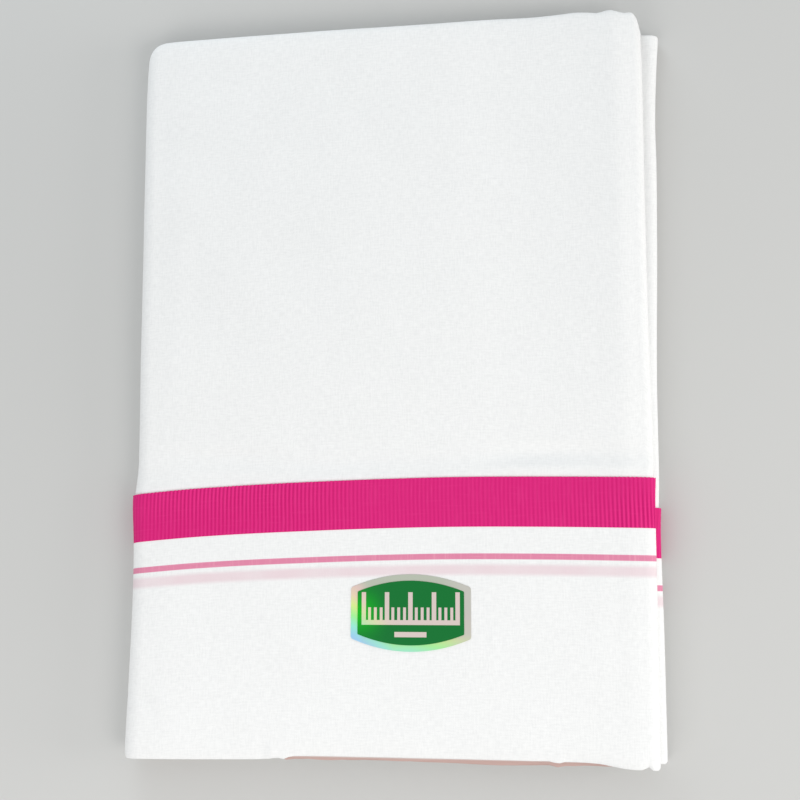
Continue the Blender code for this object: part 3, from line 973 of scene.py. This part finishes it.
# Colour, relief and the look's own values on a material's shader
def finishSurface(tree, shader, values, colour, height):
    for key, socket in surfaceSockets.items():
        if key in values:
            shader.inputs[socket].default_value = values[key]
    strength, depth = values["bump"]
    bump = placeNode(tree, "Bump", {"Height": height, "Strength": strength, "Distance": depth * mm})
    tree.links.new(colour, shader.inputs["Base Color"])
    tree.links.new(bump[0], shader.inputs["Normal"])


def whiteCotton():
    material, tree, shader = newMaterial("whiteCotton")
    weave, _ = placeWeave(tree, cottonLook["pitch"])
    finishSurface(tree, shader, cottonLook, threadColour(tree, weave), weave["Height"])
    return material


# Bands of colour on the turned-up cloth, in mm down from the selvedge: middle, half height, softness
borderLines = {
    "line": (37.0, 1.35, 0.18),
    "lineColour": (0.725, 0.235, 0.375, 1.0),
    "lineLight": (0.800, 0.330, 0.450, 1.0),
    "blush": (43.1, 2.35, 1.3),
    "blushColour": (0.790, 0.640, 0.680, 1.0),
    "patchy": (0.25, 0.75, 0.65, 1.0),      # range of the mottling, and its least and full share
    "bleed": (0.9, 0.6),                    # the band's dye below it: reach and share
    "bleedColour": (0.880, 0.700, 0.760, 1.0),
}


def stripeMask(tree, down, middle, halfHeight, soft):
    off = mathNode(tree, "ABSOLUTE", mathNode(tree, "SUBTRACT", down, middle * mm))
    return rangeInMm(tree, off, halfHeight + soft, halfHeight - soft)


def stripedCotton():
    material, tree, shader = newMaterial("stripedCotton")
    weave, flat = placeWeave(tree, cottonLook["pitch"])
    down = mathNode(tree, "MULTIPLY", flat[1], -1.0)
    values = borderLines
    blush = stripeMask(tree, down, *values["blush"])
    patchy = mapRange(tree, weave["Mottle"], *values["patchy"])
    blush = mathNode(tree, "MULTIPLY", blush, patchy)
    colour = mixColour(tree, blush, threadColour(tree, weave), values["blushColour"])
    threads = mixColour(tree, weave["Slubs"], values["lineColour"], values["lineLight"])
    colour = mixColour(tree, stripeMask(tree, down, *values["line"]), colour, threads)
    reach, share = values["bleed"]
    edge = pack["bandHeight"]
    bleed = rangeInMm(tree, down, edge, edge + reach, share, 0.0)
    colour = mixColour(tree, bleed, colour, values["bleedColour"])
    finishSurface(tree, shader, cottonLook, colour, weave["Height"])
    return material


bandLook = {
    # painted shade in the grooves and painted highlight on the ridges
    "paintedGrooveShade": (0.600, 0.010, 0.160, 1.0),
    "ridge": (0.760, 0.026, 0.222, 1.0),
    "slub": (0.820, 0.060, 0.280, 1.0),
    "slubShare": 0.35,
    "pitch": 0.32,
    "roughness": 0.75,
    "sheen": 0.03,
    "specular": 0.12,
    "bump": (0.4, 0.05),
}


# The band's ribs follow the same wave as its geometry; their colour is painted lighter on the ridges and
# darker in the grooves, as painted highlight and shade
def bandCotton():
    material, tree, shader = newMaterial("bandCotton")
    values = bandLook
    weave, flat = placeWeave(tree, values["pitch"])
    along = flat[0]
    swing = mathNode(tree, "MULTIPLY", along, 2 * math.pi / (borderBand["ribPitch"] * mm))
    for turn, rate, start in borderBand["ribDrift"]:
        slow = mathNode(tree, "SINE", mathNode(tree, "MULTIPLY_ADD", along, rate / mm, start))
        swing = mathNode(tree, "MULTIPLY_ADD", slow, turn, swing)
    shares = [(place * mm, (share / 2,) * 3 + (1.0,)) for place, share in borderBand["ribPlaces"]]
    wave = mathNode(tree, "COSINE", swing)
    # share of the painted highlight on the ridges against the painted shade in the grooves
    ridge = mathNode(tree, "MULTIPLY_ADD", wave, colourRamp(tree, along, shares), 0.5, clamp=True)
    colour = mixColour(tree, ridge, values["paintedGrooveShade"], values["ridge"])
    slubs = mathNode(tree, "MULTIPLY", weave["Slubs"], values["slubShare"])
    finishSurface(tree, shader, values, mixColour(tree, slubs, colour, values["slub"]), weave["Height"])
    return material


pliesLook = {
    # the stack's white is painted a little darker and warmer than the face cloth's: painted shade and warm
    # bounce light between the plies
    "bright": (0.860, 0.858, 0.850, 1.0),
    "dull": (0.790, 0.782, 0.770, 1.0),
    "mottle": ((60.0, 60.0, 900.0), 3.0),
    "mottled": (0.3, 0.7),
    "pinkPaintedShade": (0.520, 0.335, 0.300, 1.0),     # painted shade in the folds at the bottom, with the borders' pink gathered in it
    "pinkShadePlaces": (-176.4, -177.6, 0.0, 0.9),   # y where it begins and is full, least and full share
    "pinkShadeHeights": (7.0, 13.0, 0.25, 1.0),      # the same up the stack
    "threads": ((2600.0, 2600.0, 2600.0), 1.0),
    "roughness": 0.85,
    "specular": 0.25,
    "bump": (0.3, 0.08),
}


def foldedCotton():
    material, tree, shader = newMaterial("foldedCotton")
    values = pliesLook
    place = placeNode(tree, "TexCoord", {})["Object"]
    mottle = mapRange(tree, stretchedNoise(tree, place, *values["mottle"]), *values["mottled"])
    colour = mixColour(tree, mottle, values["dull"], values["bright"])
    parts = placeNode(tree, "SeparateXYZ", {0: place})
    pinkPaintedShade = rangeInMm(tree, parts[1], *values["pinkShadePlaces"])
    high = rangeInMm(tree, parts[2], *values["pinkShadeHeights"])
    # painted shade, tinted pink, in the upper stack's folds at the bottom
    colour = mixColour(tree, mathNode(tree, "MULTIPLY", pinkPaintedShade, high), colour, values["pinkPaintedShade"])
    finishSurface(tree, shader, values, colour, stretchedNoise(tree, place, *values["threads"]))
    return material


# The foil's rainbow is painted iridescent reflection, fixed by place on the label
foilLook = {
    # Colours by a place that climbs the left side and then runs along the bottom, in mm
    "stops": ((-16.0, screenColour(178, 200, 240)), (-10.5, screenColour(163, 215, 245)),
              (-6.0, screenColour(158, 242, 222)), (-1.2, screenColour(170, 251, 158)),
              (3.6, screenColour(222, 245, 150)), (8.3, screenColour(240, 218, 188)),
              (13.0, screenColour(230, 204, 196)), (18.0, screenColour(196, 200, 182))),
    "turn": (-27.0, -8.0, 0.0, 12.5),   # x where the bottom's colours begin and settle, and their reach
    "creep": 0.15,                      # how much further the place runs for each mm to the right
    "grey": screenColour(190, 197, 182),
    "silver": screenColour(205, 202, 195),
    "silverPlaces": (10.0, 27.0),
    "leftPlaces": (-15.0, -25.0),       # the rainbow's share: x at the left side, y at the bottom
    "bottomPlaces": (-7.0, -13.0, 0.0, 0.85),
    "rightFade": (12.0, 28.0, 1.0, 0.35),
    "leastShare": 0.12,
    "metallic": 0.35,
    "roughness": 0.38,
    "specular": 0.4,
    "grain": ((900.0, 900.0, 900.0), 2.0),
    "bump": (0.15, 0.05),
}


# The foil's rainbow, a painted iridescent reflection, at a place on the label, in metres from its centre
def makeRainbowGroup():
    values = foilLook
    inputs = (("Across", "Float"), ("Up", "Float"))
    group, start, end = newGroup("foilRainbow", inputs, (("Colour", "Color"),))
    across = start.outputs["Across"]
    begin, settle, least, reach = values["turn"]
    turned = mapRange(group, across, begin * mm, settle * mm, least, reach)
    toTheRight = mathNode(group, "MAXIMUM", across, 0.0)
    creep = mathNode(group, "MULTIPLY_ADD", toTheRight, values["creep"] / mm, turned)
    place = mathNode(group, "MULTIPLY_ADD", start.outputs["Up"], 1 / mm, creep)
    group.links.new(colourRamp(group, place, values["stops"]), end.inputs["Colour"])
    return group


rainbowGroup = makeRainbowGroup()


def rainbow(tree, x, y):
    return placeNode(tree, "Group", {"Across": x, "Up": y}, node_tree=rainbowGroup)[0]


# Coordinates from the label's centre: the vector, x and y
def labelPlace(tree):
    centre = (-label["centre"][0] * mm, -label["centre"][1] * mm, 0)
    place = placeNode(tree, "TexCoord", {})["Object"]
    vector = placeNode(tree, "Mapping", {"Vector": place, "Location": centre})[0]
    parts = placeNode(tree, "SeparateXYZ", {0: vector})
    return vector, parts[0], parts[1]


def foilMaterial():
    material, tree, shader = newMaterial("holographicFoil")
    values = foilLook
    vector, x, y = labelPlace(tree)
    silver = rangeInMm(tree, x, *values["silverPlaces"])
    plain = mixColour(tree, silver, values["grey"], values["silver"])
    bottomSide = rangeInMm(tree, y, *values["bottomPlaces"])
    faded = mathNode(tree, "MULTIPLY", bottomSide, rangeInMm(tree, x, *values["rightFade"]))
    share = mathNode(tree, "MAXIMUM", rangeInMm(tree, x, *values["leftPlaces"]), faded)
    share = mathNode(tree, "MAXIMUM", share, values["leastShare"])
    colour = mixColour(tree, share, plain, rainbow(tree, x, y))
    finishSurface(tree, shader, values, colour, stretchedNoise(tree, vector, *values["grain"]))
    return material


fieldLook = {
    "green": screenColour(6, 112, 46),
    "bright": screenColour(10, 184, 20),
    "highlightPlaces": (-25.0, -9.0, 0.9, 0.0),      # painted highlight: the green is brighter at the left of its middle
    "highlightHeights": (13.0, 0.0, 0.15, 1.0),
    "marks": screenColour(222, 205, 200),
    "markShine": (-22.0, -4.0, 0.55, 0.0),      # the rainbow's share in the marks, a painted reflection
    "markMetallic": 0.3,
    "tickPitch": 2.75,
    "ticks": 17,
    "shortTick": (1.35, 8.0),       # width and height
    "longTick": (2.1, 15.0),
    "longEvery": 4,
    "tickMargin": 1.0,
    "baseline": (-4.4, 2.2, 0.75),  # height of its middle, thickness, reach past the last ticks
    "lowerBar": (-9.9, 2.4, 15.0),  # height of its middle, thickness, length
    "roughness": 0.42,
    "specular": 0.22,
    "grain": ((700.0, 700.0, 700.0), 2.0),
    "bump": (0.12, 0.05),
}


# A box that lies evenly about the label's middle line
def insideBox(tree, x, y, halfLength, low, high):
    inside = mathNode(tree, "LESS_THAN", mathNode(tree, "ABSOLUTE", x), halfLength * mm)
    for operation, limit in (("GREATER_THAN", low), ("LESS_THAN", high)):
        inside = mathNode(tree, "MULTIPLY", inside, mathNode(tree, operation, y, limit * mm))
    return inside


# Generic ruler marks: a row of short and long ticks on a base line, with a bar below it
def rulerMask(tree, x, y):
    values = fieldLook
    reach = values["tickPitch"] * (values["ticks"] - 1) / 2
    middle, thick, past = values["baseline"]
    low = middle - thick / 2
    total = insideBox(tree, x, y, reach + past, low, low + thick)
    barMiddle, barThick, barLength = values["lowerBar"]
    bar = insideBox(tree, x, y, barLength / 2, barMiddle - barThick / 2, barMiddle + barThick / 2)
    total = mathNode(tree, "MAXIMUM", total, bar)
    for every, (width, height) in ((1, values["shortTick"]), (values["longEvery"], values["longTick"])):
        pitch = values["tickPitch"] * every
        turns = mathNode(tree, "DIVIDE", mathNode(tree, "ADD", x, (reach + pitch / 2) * mm), pitch * mm)
        off = mathNode(tree, "ABSOLUTE", mathNode(tree, "SUBTRACT", mathNode(tree, "FRACT", turns), 0.5))
        stripe = mathNode(tree, "LESS_THAN", off, width / 2 / pitch)
        box = insideBox(tree, x, y, reach + values["tickMargin"], low, low + height)
        total = mathNode(tree, "MAXIMUM", total, mathNode(tree, "MULTIPLY", stripe, box))
    return total


def fieldMaterial():
    material, tree, shader = newMaterial("greenLabel")
    vector, x, y = labelPlace(tree)
    values = fieldLook
    # painted highlight on the green, and painted reflection on the marks
    paintedHighlight = rangeInMm(tree, x, *values["highlightPlaces"])
    middle = rangeInMm(tree, mathNode(tree, "ABSOLUTE", y), *values["highlightHeights"])
    green = mixColour(tree, mathNode(tree, "MULTIPLY", paintedHighlight, middle), values["green"], values["bright"])
    shine = rangeInMm(tree, x, *values["markShine"])
    marks = mixColour(tree, shine, values["marks"], rainbow(tree, x, y))
    mask = rulerMask(tree, x, y)
    tree.links.new(mathNode(tree, "MULTIPLY", mask, values["markMetallic"]), shader.inputs["Metallic"])
    colour = mixColour(tree, mask, green, marks)
    finishSurface(tree, shader, values, colour, stretchedNoise(tree, vector, *values["grain"]))
    return material


def dress(piece, material, slot, *nodes):
    piece.data.materials.clear()
    piece.data.materials.append(material)
    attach(piece, "root")
    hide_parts(*nodes)


dress(plain, whiteCotton(), "cloth", "face_cloth", "back_cloth")
dress(turnedUp, stripedCotton(), "cloth", "face_turned_up", "back_turned_up")
dress(band, bandCotton(), "band", "face_band", "back_band")
dress(plies, foldedCotton(), "hidden_plies", "hidden_plies")
dress(foil, foilMaterial(), "foil", "label_foil")
dress(field, fieldMaterial(), "label", "label_field")
print("materials placed")


stage = {
    "floorSize": 6.0,
    "floorDrop": 0.0002,
    "floorColour": (0.60, 0.60, 0.59, 1.0),
    "floorShade": 0.985,      # the darker patches of its mottling
    "floorMottle": ((9.0, 9.0, 9.0), 3.0),
    "floorRoughness": 0.9,
    "skyColour": (0.985, 0.997, 1.0, 1.0),
    "skyStrength": 0.592,
}


def makeFloor():
    nothingSelected()
    bpy.ops.mesh.primitive_plane_add(size=stage["floorSize"], location=(0, 0, -stage["floorDrop"]))
    floor = bpy.context.object
    floor.name = "paleFloor"
    material, tree, shader = newMaterial("paleFloor")
    place = placeNode(tree, "TexCoord", {})["Object"]
    mottle = stretchedNoise(tree, place, *stage["floorMottle"])
    light = stage["floorColour"]
    dark = tuple(stage["floorShade"] * part for part in light[:3]) + (1.0,)
    tree.links.new(mixColour(tree, mottle, dark, light), shader.inputs["Base Color"])
    shader.inputs["Roughness"].default_value = stage["floorRoughness"]
    floor.data.materials.append(material)


def makeSky():
    world = bpy.data.worlds.new("softSky")
    world.use_nodes = True
    background = world.node_tree.nodes["Background"]
    background.inputs["Color"].default_value = stage["skyColour"]
    background.inputs["Strength"].default_value = stage["skyStrength"]
    bpy.context.scene.world = world


# Soft studio lights: name, place, size, power, colour; all aim at the pack
studioLights = (
    ("rightLight", (1.1, -0.1, 0.30), 0.5, 4.15, (1.0, 0.98, 0.95)),
    ("keyLight", (0.8, -0.6, 0.9), 0.6, 4.1, (1.0, 0.98, 0.95)),
    ("lowLight", (-0.25, -0.5, 0.5), 0.45, 1.27, (1.0, 0.98, 0.96)),
    ("coolLight", (-0.3, 0.8, 0.3), 0.5, 2.35, (0.84, 0.94, 1.0)),
)


def makeLights():
    for name, place, size, power, colour in studioLights:
        bpy.ops.object.light_add(type="AREA", location=place)
        light = bpy.context.object
        light.name = name
        light.data.shape = "DISK"
        light.data.size = size
        light.data.energy = power
        light.data.color = colour
        x, y, z = place
        light.rotation_euler = (0, math.atan2(math.hypot(x, y), z), math.atan2(y, x))


camera = {
    "place": (90.5, -101.4, 594.8),      # above and to the right of the label
    "near": 10.0,
    "lens": 55.66,
    "sensor": 36.0,
    "right": (0.9891, 0.0019, -0.1473),
    "up": (0.0207, 0.9882, 0.1518),
}


def makeCamera():
    place = [part * mm for part in camera["place"]]
    bpy.ops.object.camera_add(location=place)
    eye = bpy.context.object
    eye.name = "photoCamera"
    eye.data.lens = camera["lens"]
    eye.data.sensor_width = camera["sensor"]
    right = np.array(camera["right"])
    up = np.array(camera["up"])
    back = np.cross(right, up)
    matrix = np.stack((right, up, back), axis=1)
    pitchX = math.atan2(matrix[2, 1], matrix[2, 2])
    pitchY = math.atan2(-matrix[2, 0], math.hypot(matrix[2, 1], matrix[2, 2]))
    turnZ = math.atan2(matrix[1, 0], matrix[0, 0])
    eye.rotation_euler = (pitchX, pitchY, turnZ)
    eye.data.clip_start = camera["near"] * mm
    bpy.context.scene.camera = eye


makeFloor()
makeSky()
makeLights()
makeCamera()
bpy.context.scene.view_settings.view_transform = "Standard"
print("stage, lights and camera set")
